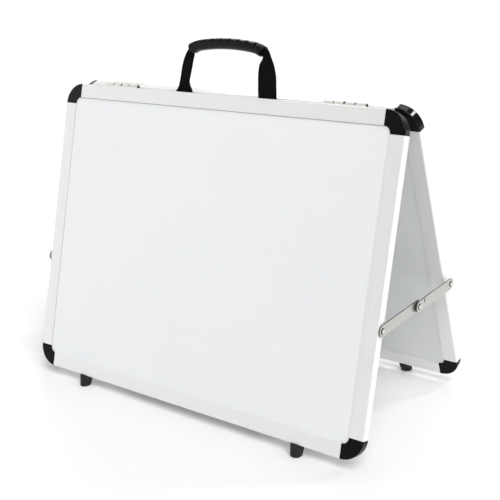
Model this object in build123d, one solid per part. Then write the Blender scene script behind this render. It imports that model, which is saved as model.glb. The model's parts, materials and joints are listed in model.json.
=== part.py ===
from build123d import *
import math
import os

# A double-sided desk whiteboard that stands as an A. Two framed boards meet at a pair of
# butt hinges along the top. A two-link stay on each side holds them apart, and a webbing
# handle rises from the gap between them.
#
# Millimetres. X runs along the boards, the front board faces -Y, +Z is up and z = 0 is the
# surface that the feet stand on. Each front piece is first drawn with the boards folded
# flat and the hinge axis on the X axis. Then it is leaned and lifted into place.

# ---------------------------------------------------------------- boards and frame
board_width = 600.0
board_height = 450.0
board_thick = 14.0
lean_angle = 17.2          # each board from the vertical, when open
fold_gap = 6.0             # between the boards' inner faces, when folded flat
rail_face = 21.0           # how far a rail laps over a board's face
rail_wall = 1.5            # outer wall of a rail
lip_wall = 1.5             # front and back walls of a rail
chamber_depth = 6.5        # closed chamber along a rail's outer edge
rail_web = 1.2             # wall between the chamber and the panel's slot
edge_round = 2.0           # a rail's outer edges
chamber_round = 1.2
cap_arm = 31.0             # a corner cap along each edge, and its outer radius
cap_joint = 0.2            # hairline between a cap and a rail
tongue_length = 16.0       # cap tongue inside a rail's chamber
tongue_play = 0.15
panel_play = 0.3           # panel's edge to the rail's web
sheet_thick = 0.3          # lacquered steel, and the backing sheet

# ---------------------------------------------------------------- hinges
hinge_inset = 101.0        # hinge's middle from the board's side edge
hinge_rise = 3.0           # hinge axis above the rails' top faces, and the barrel's radius
hinge_length = 65.0
knuckle_count = 4
knuckle_gap = 0.8
leaf_thick = 1.5
leaf_reach = 11.5          # leaf over the top face, from the board's inner face
leaf_round = 2.0
pin_radius = 1.5
pin_head_radius = 2.7
pin_head_height = 1.6
pin_tail = 0.5             # pin's plain end past the last knuckle
running_play = 0.05        # radial, round a pin or a rivet
hinge_screw_pitch = 22.0
hinge_screw_count = 3
screw_radius = 1.2
screw_head_radius = 2.5
screw_head_height = 1.2
screw_length = 7.0

# ---------------------------------------------------------------- side stays
stay_drop = 276.0          # pivots below the boards' top edge
link_width = 16.0
link_thick = 1.5
link_stand_off = 1.0       # front link to the rail's side
layer_gap = 2.0            # between the planes of the front link and the rear link
axial_play = 0.2
middle_play = 0.3          # between the two halves of the middle pivot
rivet_radius = 2.0
rivet_head_radius = 4.5
rivet_head_height = 1.6
rivet_tail_radius = 3.4
rivet_tail_height = 0.6
washer_radius = 7.0
stud_offset = 15.0         # stop stud from the middle pivot, along the rear link
stud_rise = 3.5
stud_head_radius = 2.6
stud_head_height = 1.2

# ---------------------------------------------------------------- feet
front_foot_offset = 100.0  # foot's middle from the board's side edge
rear_foot_offset = 94.0
foot_radius = 10.0         # at the rail
foot_sole_radius = 8.2
foot_height = 15.65        # below the bottom rail, at the foot's middle
foot_fold_play = 0.5       # from a foot to the middle between the folded boards
foot_round = 1.0
foot_stem_radius = 3.0
foot_barb_radius = 4.2
foot_barb_height = 4.5
foot_tip_radius = 1.5

# ---------------------------------------------------------------- handle
handle_lean = 12.1         # handle from the vertical, at rest
strap_spacing = 150.0      # between the straps' middles, at the rails
strap_width = 30.0
strap_thick = 1.8
strap_bend_rise = 1.5      # the webbing's bend above the rail's top face
bend_play = 0.3            # between the free strap and its clamped end
tail_length = 14.0         # clamped end, down the rail's inner face
clamp_thick = 1.0
clamp_height = 9.0
clamp_screw_pitch = 18.0
clamp_screw_drop = 5.2     # clamp screws below the rail's top face
clamp_screw_length = 6.5
clamp_head_height = 0.6
neck_width = 11.5          # webbing gathered where it enters the grip
neck_thick = 5.5
neck_depth = 7.0           # webbing inside the grip's end
left_gather_start = 3.0    # along the strap, above its bend
left_gather_end = 15.0
left_gather_width = 15.5
right_gather_start = 38.0
right_gather_end = 56.0
right_gather_width = 13.0
strap_sections = 12        # outlines that a free strap is lofted through
strap_start_pull = 32.0    # how far a strap keeps its first direction, above its bend
strap_end_pull = 14.0      # how far it keeps the grip's direction, below the grip
grip_rise = 70.8           # grip's middle line above the webbing's bend
grip_depth = 20.0
grip_height = 14.0
grip_crown_radius = 330.0
grip_crown_half = 46.0
grip_end_radius = 50.0
grip_end_turn = 21.0
grip_end_round = 2.0
groove_count = 8
groove_pitch = 14.8
groove_width = 2.0
groove_cut = 1.2

# ---------------------------------------------------------------- worked out from these
lean = math.radians(lean_angle)
inner_y = -fold_gap / 2
face_y = inner_y - board_thick
middle_y = (inner_y + face_y) / 2
top_z = -hinge_rise
bottom_z = top_z - board_height
half_width = board_width / 2
hinge_offset = half_width - hinge_inset
panel_edge = rail_wall + chamber_depth + rail_web
panel_inset = panel_edge + panel_play
foot_y = -foot_radius - foot_fold_play
axis_height = (foot_height - bottom_z) * math.cos(lean) + foot_y * math.sin(lean)
pivot_down = hinge_rise + stay_drop
half_span = pivot_down * math.sin(lean) - middle_y * math.cos(lean)
pivot_height = axis_height - pivot_down * math.cos(lean) - middle_y * math.sin(lean)
link_a_x = half_width + link_stand_off
link_b_x = link_a_x + link_thick + layer_gap
bend_y = inner_y + 1.5 * strap_thick
bend_z = top_z + strap_bend_rise
cap_end = cap_arm + cap_joint
long_rail = board_width - 2 * cap_end
short_rail = board_height - 2 * cap_end
clamp_face_y = inner_y + 2 * strap_thick + clamp_thick

os.makedirs("parts", exist_ok=True)


def save(shape, name):
    shape.label = name
    export_step(shape, "parts/" + name + ".step")


def lean_front(shape):
    """From the folded drawing position to the standing front board."""
    return Pos(0, 0, axis_height) * Rot(-lean_angle, 0, 0) * shape


def lean_rear(shape):
    """The same piece on the rear board, which is the front board's mirror image."""
    return mirror(lean_front(shape), about=Plane.XZ)


def other_side(shape):
    return mirror(shape, about=Plane.YZ)


def save_board_piece(shape, name):
    save(lean_front(shape), "front_" + name)
    save(lean_rear(shape), "rear_" + name)


def group(shapes):
    return Compound(children=list(shapes))


def rod(radius, start_x, end_x):
    """A round bar along X."""
    length = end_x - start_x
    return Pos(start_x + length / 2, 0, 0) * Rot(0, 90, 0) * Cylinder(radius, length)


def dome(radius, height, base_x):
    """A low domed head on the plane x = base_x, crown towards +X."""
    ball_radius = (radius**2 + height**2) / (2 * height)
    crown_x = base_x + height
    sweep_angle = math.degrees(math.asin(radius / ball_radius))
    crown = CenterArc((crown_x - ball_radius, 0), ball_radius, 0, sweep_angle)
    rim = Line(crown @ 1, (base_x, 0))
    axis_line = Line((base_x, 0), crown @ 0)
    return revolve(make_face([crown, rim, axis_line]), Axis.X, 360)


# ================================================================ frame of one board
def rail_outline():
    """x runs in from the outer edge, y from the writing face to the inner face."""
    outline = Pos(rail_face / 2, board_thick / 2) * Rectangle(rail_face, board_thick)
    outer_corners = outline.vertices().sort_by(Axis.X)[:2]
    return fillet(outer_corners, edge_round)


def slot_outline():
    depth = rail_face - panel_edge
    middle = (panel_edge + rail_face) / 2
    return Pos(middle, board_thick / 2) * Rectangle(depth, board_thick - 2 * lip_wall)


def chamber_outline(play):
    depth = chamber_depth - 2 * play
    height = board_thick - 2 * lip_wall - 2 * play
    middle = rail_wall + chamber_depth / 2
    return Pos(middle, board_thick / 2) * RectangleRounded(depth, height, chamber_round)


def edge_plane(corner, inward, run):
    return Plane(origin=corner, x_dir=inward, z_dir=run)


def rail(corner, inward, run, length):
    profile = rail_outline() - slot_outline() - chamber_outline(0)
    return extrude(edge_plane(corner, inward, run) * profile, length)


def top_rail():
    return rail((-long_rail / 2, face_y, top_z), (0, 0, -1), (1, 0, 0), long_rail)


def bottom_rail():
    return rail((long_rail / 2, face_y, bottom_z), (0, 0, 1), (-1, 0, 0), long_rail)


def right_rail():
    return rail((half_width, face_y, top_z - cap_end), (-1, 0, 0), (0, 0, -1), short_rail)


def corner_cap():
    """Quarter ring at the top left corner, with a tongue into each rail's chamber."""
    centre = (cap_arm - half_width, face_y, top_z - cap_arm)
    over = edge_plane((centre[0], face_y, top_z), (0, 0, -1), (1, 0, 0))
    beside = edge_plane((-half_width, face_y, centre[2]), (1, 0, 0), (0, 0, -1))
    profile = over * (rail_outline() - slot_outline())
    ring = revolve(profile, Axis(centre, (0, -1, 0)), 90)
    tongue = over * chamber_outline(tongue_play)
    long_tongue = extrude(tongue, tongue_length)
    turned = mirror(chamber_outline(tongue_play), about=Plane.XZ)
    down_tongue = extrude(beside * turned, tongue_length)
    return ring + long_tongue + down_tongue


def panel_layer(near, thick):
    """One layer of the board. near is its depth below the writing face of the frame."""
    width = board_width - 2 * panel_inset
    height = board_height - 2 * panel_inset
    outline = RectangleRounded(width, height, cap_arm - panel_inset)
    middle = (0, face_y + near, (top_z + bottom_z) / 2)
    start = Plane(origin=middle, x_dir=(1, 0, 0), z_dir=(0, 1, 0))
    return extrude(start * outline, thick)


def make_panels():
    core_start = lip_wall + sheet_thick
    core_thick = board_thick - 2 * core_start
    save_board_piece(panel_layer(lip_wall, sheet_thick), "writing_sheet")
    save_board_piece(panel_layer(core_start, core_thick), "core")
    save_board_piece(panel_layer(core_start + core_thick, sheet_thick), "backing_sheet")


def make_caps():
    top_left = corner_cap()
    middle = Plane(origin=(0, 0, (top_z + bottom_z) / 2), z_dir=(0, 0, 1))
    bottom_left = mirror(top_left, about=middle)
    save_board_piece(top_left, "cap_top_left")
    save_board_piece(bottom_left, "cap_bottom_left")
    save_board_piece(other_side(top_left), "cap_top_right")
    save_board_piece(other_side(bottom_left), "cap_bottom_right")


# ================================================================ screws and their places
def screw(head_height, length):
    """Countersunk screw along Z, its flat head on z = 0 and its tip below."""
    flat_head = Pos(0, 0, -head_height / 2) * Cone(screw_radius, screw_head_radius, head_height)
    shank = Pos(0, 0, -length / 2) * Cylinder(screw_radius, length)
    return flat_head + shank


def hinge_screws():
    """Screws of both hinges' front leaves."""
    top = top_z + leaf_thick
    across = inner_y - leaf_reach / 2
    first = -(hinge_screw_count - 1) / 2 * hinge_screw_pitch
    screws = []
    for side in (-1, 1):
        for index in range(hinge_screw_count):
            along = side * hinge_offset + first + index * hinge_screw_pitch
            screws.append(Pos(along, across, top) * screw(screw_head_height, screw_length))
    return screws


def clamp_screws():
    """Screws of both clamp plates, heads towards the rear board."""
    height = top_z - clamp_screw_drop
    screws = []
    for side in (-1, 1):
        for step in (-0.5, 0.5):
            along = side * strap_spacing / 2 + step * clamp_screw_pitch
            shape = Rot(-90, 0, 0) * screw(clamp_head_height, clamp_screw_length)
            screws.append(Pos(along, clamp_face_y, height) * shape)
    return screws


# ================================================================ hinges
def knuckle_span(index):
    pitch = hinge_length / knuckle_count
    start = -hinge_length / 2 + index * pitch
    return start, start + pitch


def hinge_leaf(first):
    """A front leaf with every second knuckle, on the hinge's own middle."""
    reach = leaf_reach - inner_y
    corner_set = Pos(0, -reach / 2) * Rectangle(hinge_length, reach)
    far_corners = corner_set.vertices().sort_by(Axis.Y)[:2]
    outline = fillet(far_corners, leaf_round)
    plate = extrude(Pos(0, 0, top_z) * outline, leaf_thick)
    leaf = plate + rod(hinge_rise, -hinge_length / 2, hinge_length / 2)
    clear = hinge_rise + knuckle_gap
    for index in range(knuckle_count):
        if index % 2 == first:
            continue
        start, end = knuckle_span(index)
        start = start - knuckle_gap / 2
        end = end + knuckle_gap / 2
        notch = Box(end - start, 2 * clear, 2 * clear)
        leaf = leaf - Pos((start + end) / 2, 0, 0) * notch
    return leaf - rod(pin_radius + running_play, -hinge_length, hinge_length)


def hinge_pin():
    end = hinge_length / 2
    bar = rod(pin_radius, -end - pin_tail, end)
    return bar + dome(pin_head_radius, pin_head_height, end)


def make_hinges():
    screws = group(hinge_screws())
    lift = Pos(0, 0, axis_height)
    for side, name in ((-1, "hinge_left_"), (1, "hinge_right_")):
        place = Pos(side * hinge_offset, 0, 0)
        front = place * hinge_leaf(0) - screws
        rear = place * hinge_leaf(1) - screws
        save(lean_front(front), name + "front_leaf")
        save(lean_rear(rear), name + "rear_leaf")
        save(lift * place * hinge_pin(), name + "pin")
    save(lean_front(screws), "hinge_screws_front")
    save(lean_rear(screws), "hinge_screws_rear")


# ================================================================ side stays
def stay_point(y, rise=0.0):
    return Pos(0, y, pivot_height + rise)


def link_plate(start_x, board_end, board_hole_y):
    """Flat bar with round ends from the middle pivot to a board's pivot."""
    bar = Rot(0, 0, 90) * SlotCenterToCenter(half_span, link_width)
    place = Plane(origin=(start_x, board_end / 2, pivot_height), x_dir=(0, 0, 1), z_dir=(1, 0, 0))
    plate = extrude(place * bar, link_thick)
    end_x = start_x + link_thick
    board_hole = stay_point(board_hole_y) * rod(rivet_radius + running_play, start_x, end_x)
    middle_hole = stay_point(0) * rod(rivet_radius, start_x, end_x)
    return plate - board_hole - middle_hole


def ring(start_x, end_x, radius, bore):
    return rod(radius, start_x, end_x) - rod(bore, start_x, end_x)


def board_rivet(head_x):
    """Domed rivet from inside a side rail's chamber to the outside of a link."""
    tail_x = half_width - rail_wall - rivet_tail_height
    shank = rod(rivet_radius, tail_x, head_x)
    tail = rod(rivet_tail_radius, tail_x, half_width - rail_wall)
    return shank + tail + dome(rivet_head_radius, rivet_head_height, head_x)


def both_sides(shape):
    return group([shape, other_side(shape)])


def make_board_pivots():
    """Rivets, washers and spacers, which stay with the boards."""
    front_head = link_a_x + link_thick + axial_play
    rear_head = link_b_x + link_thick + axial_play
    front = stay_point(-half_span)
    rear = stay_point(half_span)
    washer = ring(half_width, link_a_x - axial_play, washer_radius, rivet_radius)
    spacer = ring(half_width, link_b_x - axial_play, washer_radius, rivet_radius)
    save(both_sides(front * board_rivet(front_head)), "stay_front_rivets")
    save(both_sides(rear * board_rivet(rear_head)), "stay_rear_rivets")
    save(both_sides(front * washer), "stay_front_washers")
    save(both_sides(rear * spacer), "stay_rear_spacers")


def middle_tail():
    """The inner half of the middle pivot, on the front link."""
    flat = rod(rivet_tail_radius, link_a_x - rivet_tail_height, link_a_x)
    stub = rod(rivet_radius, link_a_x - rivet_tail_height / 2, link_b_x - middle_play)
    return flat + stub


def middle_head():
    """The outer half of the middle pivot, on the rear link."""
    face = link_b_x + link_thick
    return rod(rivet_radius, link_b_x, face) + dome(rivet_head_radius, rivet_head_height, face)


def stop_stud():
    face = link_b_x + link_thick
    return rod(rivet_radius, link_b_x, face) + dome(stud_head_radius, stud_head_height, face)


def make_links():
    washer_start = link_a_x + link_thick
    stud_place = stay_point(stud_offset, stud_rise)
    front_link = link_plate(link_a_x, -half_span, -half_span)
    rear_link = link_plate(link_b_x, half_span, half_span)
    rear_link = rear_link - stud_place * rod(rivet_radius, link_b_x, link_b_x + link_thick)
    washer = ring(washer_start, link_b_x - middle_play, washer_radius, rivet_radius)
    pieces = {
        "front_link": front_link,
        "rear_link": rear_link,
        "middle_washer": stay_point(0) * washer,
        "middle_rivet_tail": stay_point(0) * middle_tail(),
        "middle_rivet_head": stay_point(0) * middle_head(),
        "stop_stud": stud_place * stop_stud(),
    }
    for name, shape in pieces.items():
        save(shape, "stay_right_" + name)
        save(other_side(shape), "stay_left_" + name)


def pivot_hole():
    """The right side rail's hole for a board's rivet, in the folded drawing position."""
    place = Pos(0, middle_y, -pivot_down)
    return place * rod(rivet_radius, half_width - rail_wall, half_width)


# ================================================================ feet
def foot(side, offset):
    """Round rubber foot with a stem that is pushed through the bottom rail's wall."""
    reach = foot_height + foot_radius * math.tan(lean)
    taper = (foot_radius - foot_sole_radius) / foot_height
    block = Cone(foot_radius - taper * reach, foot_radius, reach)
    block = Pos(0, 0, bottom_z - reach / 2) * block
    stem = Pos(0, 0, bottom_z + rail_wall / 2) * Cylinder(foot_stem_radius, rail_wall)
    barb = Cone(foot_barb_radius, foot_tip_radius, foot_barb_height)
    barb = Pos(0, 0, bottom_z + rail_wall + foot_barb_height / 2) * barb
    place = Pos(side * (half_width - offset), foot_y, 0)
    standing = lean_front(place * (block + stem + barb))
    floor_side = board_width
    below = Pos(0, 0, -floor_side / 2) * Box(2 * floor_side, 2 * floor_side, floor_side)
    trimmed = standing - below
    sole_edges = trimmed.faces().sort_by(Axis.Z)[0].edges()
    return fillet(sole_edges, foot_round)


def foot_holes(offset):
    cut = rod(foot_stem_radius, bottom_z, bottom_z + rail_wall)
    upright = Rot(0, -90, 0) * cut
    places = [Pos(side * (half_width - offset), foot_y, 0) for side in (-1, 1)]
    return [place * upright for place in places]


def make_feet():
    for side, name in ((-1, "foot_left"), (1, "foot_right")):
        front = foot(side, front_foot_offset)
        rear = mirror(foot(side, rear_foot_offset), about=Plane.XZ)
        save(front, "front_" + name)
        save(rear, "rear_" + name)


def make_rails():
    top = top_rail() - group(hinge_screws())
    front_bottom = bottom_rail() - group(foot_holes(front_foot_offset))
    rear_bottom = bottom_rail() - group(foot_holes(rear_foot_offset))
    right = right_rail() - pivot_hole()
    save(lean_front(top - group(clamp_screws())), "front_top_rail")
    save(lean_rear(top), "rear_top_rail")
    save(lean_front(front_bottom), "front_bottom_rail")
    save(lean_rear(rear_bottom), "rear_bottom_rail")
    save_board_piece(right, "right_rail")
    save_board_piece(other_side(right), "left_rail")


# ================================================================ handle
def grip_path():
    """Middle line of the grip: a flat crown between two tighter ends, drawn in XZ."""
    crown_turn = math.degrees(math.asin(grip_crown_half / grip_crown_radius))
    crown_z = grip_rise - grip_crown_radius
    crown = CenterArc((0, crown_z), grip_crown_radius, 90 + crown_turn, -2 * crown_turn)
    end_share = grip_end_radius / grip_crown_radius
    end_x = grip_crown_half * (1 - end_share)
    end_z = crown_z + ((crown @ 1).Y - crown_z) * (1 - end_share)
    right = CenterArc((end_x, end_z), grip_end_radius, 90 - crown_turn, -grip_end_turn)
    left_start = 90 + crown_turn + grip_end_turn
    left = CenterArc((-end_x, end_z), grip_end_radius, left_start, -grip_end_turn)
    return Plane.XZ * Wire([left, crown, right])


def ordered_ends(path):
    """The grip's right end point and the direction in which the path leaves it."""
    start, end = path @ 0, path @ 1
    if start.X > end.X:
        return start, -(path % 0)
    return end, path % 1


def smooth_step(value, start, end):
    share = min(max((value - start) / (end - start), 0.0), 1.0)
    return share * share * (3 - 2 * share)


def strap_curve(end, away):
    """Middle line of the right strap from its bend up to the grip's end."""
    foot_x = strap_spacing / 2
    start = Vector(foot_x, 0, 0)
    lower = Vector(foot_x, 0, strap_start_pull)
    upper = end + away * strap_end_pull
    return Bezier(start, lower, upper, end)


def strap_section(curve, share, gather_start, gather_end, gathered_width):
    """The webbing's outline at one place: flat at the rail, gathered towards the grip."""
    along = share * curve.length
    gather = smooth_step(along, gather_start, gather_end)
    neck = smooth_step(along, gather_end, curve.length)
    width = strap_width + (gathered_width - strap_width) * gather
    width = width + (neck_width - gathered_width) * neck
    area = strap_width * strap_thick
    thick = strap_thick + (area / gathered_width - strap_thick) * gather
    thick = thick + (neck_thick - area / gathered_width) * neck
    tangent = curve % share
    across = Vector(0, 1, 0).cross(tangent)
    place = Plane(origin=curve @ share, x_dir=across, z_dir=tangent)
    return place * Rectangle(width, thick)


def strap(end, away, gather_start, gather_end, gathered_width):
    """Free webbing of one side, drawn on the right, with a round edge at its bend."""
    curve = strap_curve(end, away)
    sections = []
    for index in range(strap_sections + 1):
        share = index / strap_sections
        section = strap_section(curve, share, gather_start, gather_end, gathered_width)
        sections.append(section)
    body = loft(sections)
    half = strap_width / 2
    bend = rod(strap_thick / 2, strap_spacing / 2 - half, strap_spacing / 2 + half)
    return body + bend + neck_block(end, away)


def neck_block(end, away):
    """The gathered webbing inside the grip's end."""
    place = Plane(origin=end, x_dir=Vector(0, 1, 0).cross(away), z_dir=-away)
    return extrude(place * Rectangle(neck_width, neck_thick), neck_depth)


def grip(path, end, away):
    start_plane = Plane(origin=path @ 0, x_dir=(0, 1, 0), z_dir=path % 0)
    section = start_plane * Ellipse(grip_depth / 2, grip_height / 2)
    body = sweep(section, path)
    end_faces = body.faces().sort_by(Axis.X)
    rims = end_faces[0].edges() + end_faces[-1].edges()
    body = fillet(rims, grip_end_round)
    heading = 1 if (path % 0.5).X > 0 else -1
    for index in range(groove_count):
        share = 0.5 + (index - (groove_count - 1) / 2) * groove_pitch / path.length
        place = Plane(origin=path @ share, x_dir=(0, 1, 0), z_dir=(path % share) * heading)
        cut = Box(2 * grip_depth, 2 * groove_cut, groove_width)
        body = body - place * Pos(0, grip_height / 2, 0) * cut
    socket = neck_block(end, away)
    return body - socket - other_side(socket)


def make_handle():
    path = grip_path()
    end, away = ordered_ends(path)
    right = strap(end, away, right_gather_start, right_gather_end, right_gather_width)
    left = strap(end, away, left_gather_start, left_gather_end, left_gather_width)
    bend = lean_front(Pos(0, bend_y, bend_z))
    stand = Pos(*bend.position) * Rot(-handle_lean, 0, 0)
    save(stand * grip(path, end, away), "handle_grip")
    save(stand * right, "handle_strap_right")
    save(stand * other_side(left), "handle_strap_left")


def strap_tail():
    """The webbing's end, folded once behind the rail, on the middle of its width."""
    tail_z = top_z - tail_length
    outer_height = bend_z - strap_thick / 2 - bend_play - tail_z
    inner_height = tail_length - strap_thick
    standing = (Align.CENTER, Align.MIN, Align.MIN)
    outer = Box(strap_width, strap_thick, outer_height, align=standing)
    inner = Box(strap_width, strap_thick, inner_height, align=standing)
    fold = rod(strap_thick, -strap_width / 2, strap_width / 2)
    middle = Pos(0, inner_y + strap_thick, tail_z)
    return Pos(0, inner_y, tail_z) * inner + middle * (outer + fold)


def clamp_plate():
    plate = Box(strap_width, clamp_thick, clamp_height)
    return Pos(0, clamp_face_y - clamp_thick / 2, top_z - clamp_screw_drop) * plate


def make_clamps():
    screws = group(clamp_screws())
    tails = []
    plates = []
    for side in (-1, 1):
        place = Pos(side * strap_spacing / 2, 0, 0)
        tails.append(place * strap_tail() - screws)
        plates.append(place * clamp_plate() - screws)
    save(lean_front(group(tails)), "strap_clamped_ends")
    save(lean_front(group(plates)), "strap_clamp_plates")
    save(lean_front(screws), "strap_clamp_screws")


make_panels()
make_rails()
make_caps()
make_hinges()
make_board_pivots()
make_links()
make_feet()
make_handle()
make_clamps()
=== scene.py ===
# %% [markdown]
# # A double-sided desk whiteboard, dressed in cells
# The board stands as an A on four rubber feet. Its hard pieces come from an engineering model and
# are already in place, in metres, with z = 0 on the desk. This file gives each of them a finish,
# makes the soft handle as new meshes, and sets up the light and the camera.

# %% Load the fixed frame
import bmesh
import bpy
import json
import math
from mathutils import Matrix, Vector


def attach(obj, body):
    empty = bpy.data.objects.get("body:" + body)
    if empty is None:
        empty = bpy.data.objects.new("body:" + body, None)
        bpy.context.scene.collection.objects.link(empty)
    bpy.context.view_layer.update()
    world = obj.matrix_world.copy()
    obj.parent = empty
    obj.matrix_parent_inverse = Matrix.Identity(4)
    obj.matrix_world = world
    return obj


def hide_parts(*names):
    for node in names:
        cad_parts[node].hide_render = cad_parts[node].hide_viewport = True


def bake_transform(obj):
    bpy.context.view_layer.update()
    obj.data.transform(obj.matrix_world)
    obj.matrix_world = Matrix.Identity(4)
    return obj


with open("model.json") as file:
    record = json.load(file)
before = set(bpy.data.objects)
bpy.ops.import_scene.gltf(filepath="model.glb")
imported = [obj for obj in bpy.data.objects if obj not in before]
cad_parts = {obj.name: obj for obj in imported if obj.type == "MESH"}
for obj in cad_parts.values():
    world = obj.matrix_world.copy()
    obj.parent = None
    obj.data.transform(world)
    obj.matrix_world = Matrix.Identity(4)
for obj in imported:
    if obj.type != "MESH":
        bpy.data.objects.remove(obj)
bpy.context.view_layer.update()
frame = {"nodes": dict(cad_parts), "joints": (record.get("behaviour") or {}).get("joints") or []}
nodes = frame["nodes"]
MM = 0.001
print("pieces in the frame:", len(nodes))

# %% [markdown]
# ## Where things are
# The frame already knows the hinge axis, the angle between the boards and the place where the
# handle's webbing bends. They are read from the joints, and the boards' and the hinges' places are
# measured on the pieces themselves, so that nothing here is placed twice.

# %% Read the joints
joints = {joint["name"]: joint for joint in frame["joints"]}
hinge_axis = Vector(joints["fold"]["pos_m"])
board_lean = math.radians(joints["fold"]["range_deg"][1] / 2)
strap_bend = Vector(joints["handle_flop"]["pos_m"])
RAIL_TOP = -3.0  # mm, the rails' top faces below the hinge axis
print("hinge axis height in mm:", round(hinge_axis.z / MM, 1))
print("lean of each board in degrees:", round(math.degrees(board_lean), 1))

# %% Measure the pieces


def extent_across(name):
    """From where to where a carried-over piece reaches along X, in mm."""
    places = [vertex.co.x / MM for vertex in nodes[name].data.vertices]
    return min(places), max(places)


half_board = extent_across("front_cap_top_right")[1]
hinge_start, hinge_end = extent_across("hinge_right_front_leaf")
print("a board is", round(2 * half_board, 1), "mm wide")
print("a hinge is", round(hinge_end - hinge_start, 1), "mm long")

# %% [markdown]
# ## The camera
# The photograph looks at the front board from the right and a little from above. A camera can be
# put anywhere on the line of sight, and only one distance gives the right perspective: the far
# edges of the boards shrink by just as much as in the photograph. The roll is the small tilt of
# the camera in the hand.

# %% Camera from the view's own angles
VIEW_AZIMUTH = math.radians(37.99)
VIEW_ELEVATION = math.radians(19.55)
VIEW_ROLL = math.radians(-3.6)
VIEW_DISTANCE = 1.49068  # m
VIEW_TARGET = Vector((0.00126, 0.03395, 0.19928))  # m
FOCAL_LENGTH = 70.51  # mm
SENSOR_WIDTH = 36.0  # mm
NEAREST_SEEN = 0.05  # m
FARTHEST_SEEN = 60.0  # m


def make_camera():
    level = math.cos(VIEW_ELEVATION)
    back = Vector((
        math.sin(VIEW_AZIMUTH) * level,
        -math.cos(VIEW_AZIMUTH) * level,
        math.sin(VIEW_ELEVATION),
    ))
    data = bpy.data.cameras.new("photo_camera")
    data.lens = FOCAL_LENGTH
    data.sensor_width = SENSOR_WIDTH
    data.clip_start = NEAREST_SEEN
    data.clip_end = FARTHEST_SEEN
    camera = bpy.data.objects.new("photo_camera", data)
    bpy.context.scene.collection.objects.link(camera)
    turn = back.to_track_quat("Z", "Y").to_matrix().to_4x4()
    place = Matrix.Translation(VIEW_TARGET + back * VIEW_DISTANCE)
    camera.matrix_world = place @ turn @ Matrix.Rotation(VIEW_ROLL, 4, "Z")
    bpy.context.scene.camera = camera
    return camera


camera = make_camera()
print("camera stands at", [round(value, 3) for value in camera.matrix_world.translation])

# %% [markdown]
# ## The floor
# The picture is a studio shot on white: a pale floor that runs out of sight. A very large disc does
# that without an edge in the picture. It is not a piece of the object.

# %% Floor
FLOOR_RADIUS = 14.0  # m
FLOOR_SIDES = 96


def make_floor():
    mesh = bpy.data.meshes.new("floor")
    shape = bmesh.new()
    bmesh.ops.create_circle(shape, cap_ends=True, radius=FLOOR_RADIUS, segments=FLOOR_SIDES)
    shape.to_mesh(mesh)
    shape.free()
    floor = bpy.data.objects.new("floor", mesh)
    bpy.context.scene.collection.objects.link(floor)
    return floor


floor = make_floor()
print("floor is", 2 * FLOOR_RADIUS, "m across")

# %% [markdown]
# ## Working with shader nodes
# The sky and every finish are small networks of nodes. A few helpers keep them readable: one feeds a
# socket with a number or with another node's result, one does a sum, one takes a vector apart and
# one goes smoothly from a low to a high value.

# %% Helpers for nodes


def feed(tree, socket, value):
    """Sets a socket to a number, or links a field into it."""
    if isinstance(value, (int, float)):
        socket.default_value = value
    else:
        tree.links.new(value, socket)


def math_node(tree, operation, *values):
    node = tree.nodes.new("ShaderNodeMath")
    node.operation = operation
    for socket, value in zip(node.inputs, values):
        feed(tree, socket, value)
    return node.outputs["Value"]


def taken_apart(tree, vector):
    """The X, Y and Z of a vector, each as a field of its own."""
    parts = tree.nodes.new("ShaderNodeSeparateXYZ")
    tree.links.new(vector, parts.inputs["Vector"])
    return parts.outputs["X"], parts.outputs["Y"], parts.outputs["Z"]


def smooth_blend(tree, field, start, end, low, high):
    """Goes smoothly from low to high while the field goes from start to end."""
    ranged = tree.nodes.new("ShaderNodeMapRange")
    ranged.interpolation_type = "SMOOTHSTEP"
    ranged.inputs["From Min"].default_value = start
    ranged.inputs["From Max"].default_value = end
    feed(tree, ranged.inputs["To Min"], low)
    feed(tree, ranged.inputs["To Max"], high)
    tree.links.new(field, ranged.inputs["Value"])
    return ranged.outputs["Result"]


print("node helpers ready")

# %% [markdown]
# ## The light
# Soft light comes from all sides, and thin bright strips on the black caps show that small strong
# lamps stand behind the easel. Lamps could be light objects. Here each one is drawn in the sky, as a
# round spot with a direction, a size and a soft edge, because a lamp that far away lights every
# piece from the same side and mirrors in the gloss as one clean spot. A large lamp on the right
# front is the main light. The walls on the left and on the right make the boards' edges almost
# white, and the one behind mirrors in all that faces up and is seen at a flat angle. The sky
# between them is dimmer on the camera's side, where the front caps look nearly black.

# %% Sky levels and lamps
OVERHEAD_LEFT = 0.20
OVERHEAD_RIGHT = 0.30
HORIZON = 0.30
CAMERA_SIDE = 0.10
BACKDROP = 1.0
FRONT_TO_BACK = (-0.5, 0.2)  # Y of the line of sight, where the horizon starts and ends to brighten
LEFT_TO_RIGHT = (-0.5, 0.6)  # X of it, the same for the sky overhead
LOW_TO_HIGH = (0.15, 0.5)  # Z of it, from the horizon to overhead
LAMPS = (
    # name, direction from the object, half angle and soft edge in degrees, strength
    ("back left spot", (-0.47, 0.60, 0.65), 6.0, 1.5, 13.0),
    ("back right spot", (0.444, 0.593, 0.672), 4.0, 1.0, 30.0),
    ("back top", (-0.07, 0.54, 0.84), 13.0, 2.0, 2.2),
    ("low back wall", (-0.55, 0.83, 0.08), 34.0, 14.0, 0.6),
    ("right wall", (1.0, -0.15, 0.26), 24.0, 5.0, 0.88),
    ("front right key", (0.50, -0.30, 0.81), 21.0, 3.0, 5.3),
    ("left wall", (-0.83, -0.46, 0.30), 27.0, 8.0, 0.9),
)
for lamp_name, lamp_direction, *_ in LAMPS:
    height = math.degrees(math.asin(Vector(lamp_direction).normalized().z))
    print(lamp_name, "stands", round(height), "degrees above the floor")

# %% One lamp


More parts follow.
